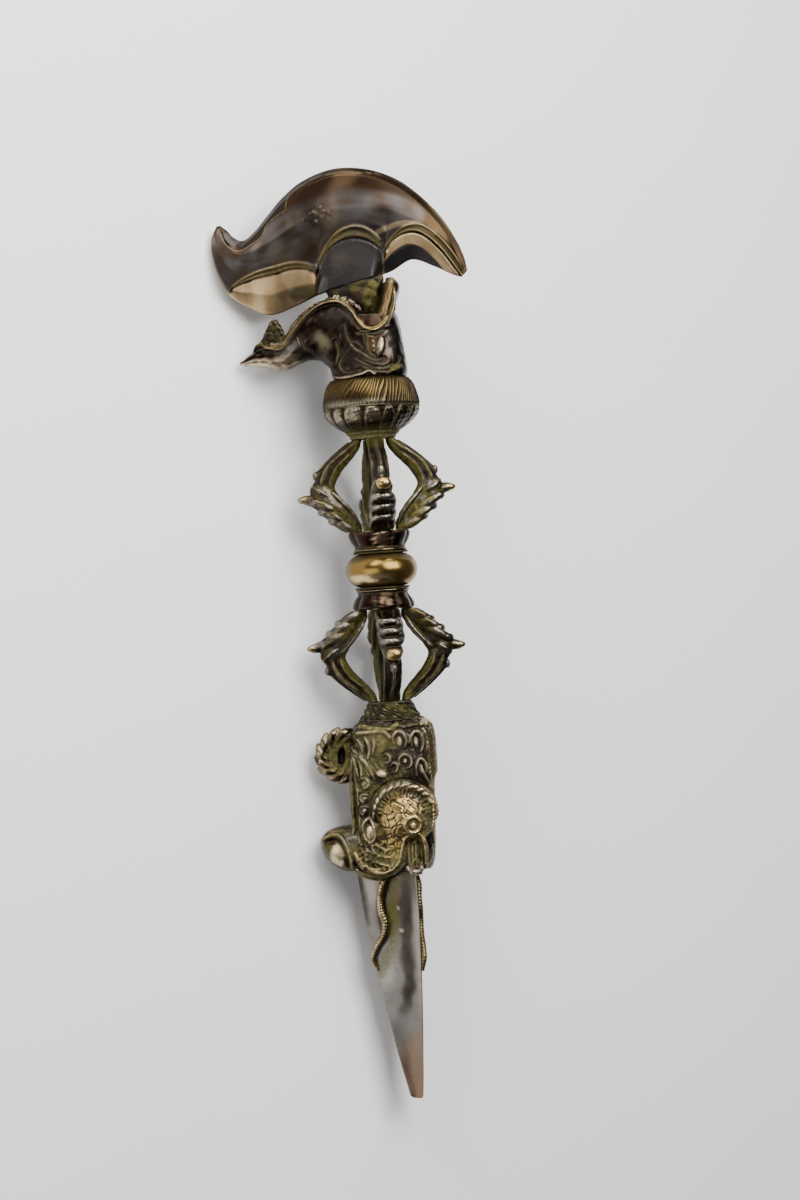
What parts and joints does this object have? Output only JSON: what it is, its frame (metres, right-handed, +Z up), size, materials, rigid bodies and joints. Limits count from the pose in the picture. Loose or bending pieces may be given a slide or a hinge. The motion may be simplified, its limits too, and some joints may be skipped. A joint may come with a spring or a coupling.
{
  "type": "phurba",
  "caption": "Ritual phurba lying on its side: three-edged blade in a makara head, handle of two pronged cages round a brass ring, and a second makara head with a crescent chopper.",
  "frame": {"origin": "on the surface it lies on, at the middle of the part's bounding box seen from above", "axes": "+Y along the handle from the blade's point to the crescent, +Z up from the surface, +X to the back of both makara heads; the handle's axis climbs 3.4 degrees towards the crescent and the part is rolled 36 degrees so that the snouts point down to -X"},
  "size_m": [0.0565, 0.2517, 0.0414],
  "materials": {
    "blade_steel": "worn dark steel, coppery towards the point",
    "serpent_bronze": "dark worn bronze",
    "guard_bronze": "bronze with worn brassy cheeks and green-yellow deposit in the hollows",
    "eye_brass": "worn bright",
    "rod_iron": "dark iron",
    "crown_bronze": "bronze with green-yellow deposit",
    "prong_bronze": "dark brown bronze with worn coppery ridges",
    "hub_bronze": "dark reddish-brown bronze",
    "ring_brass": "polished brass",
    "lotus_bronze": "bronze with green-yellow deposit",
    "mane_brass": "worn brass",
    "finial_bronze": "dark bronze with worn ridges",
    "crescent_bronze": "brown bronze with steel-grey sheen and pale copper panels"
  },
  "bodies": {
    "root": {"blade": "blade_steel", "serpent_front": "serpent_bronze", "serpent_rear": "serpent_bronze", "serpent_back": "serpent_bronze", "guard_head": "guard_bronze", "guard_crest": "guard_bronze", "guard_rivet": "eye_brass", "core_rod": "rod_iron", "lower_crown": "crown_bronze", "lower_prong_right": "prong_bronze", "lower_prong_rear": "prong_bronze", "lower_prong_left": "prong_bronze", "lower_prong_front": "prong_bronze", "lower_hub": "hub_bronze", "lower_washer": "hub_bronze", "centre_ring": "ring_brass", "upper_washer": "hub_bronze", "upper_hub": "hub_bronze", "upper_prong_right": "prong_bronze", "upper_prong_rear": "prong_bronze", "upper_prong_left": "prong_bronze", "upper_prong_front": "prong_bronze", "upper_crown": "crown_bronze", "lotus_cup": "lotus_bronze", "mane_ring": "mane_brass", "finial_head": "finial_bronze", "crescent": "crescent_bronze"}
  },
  "joints": []
}
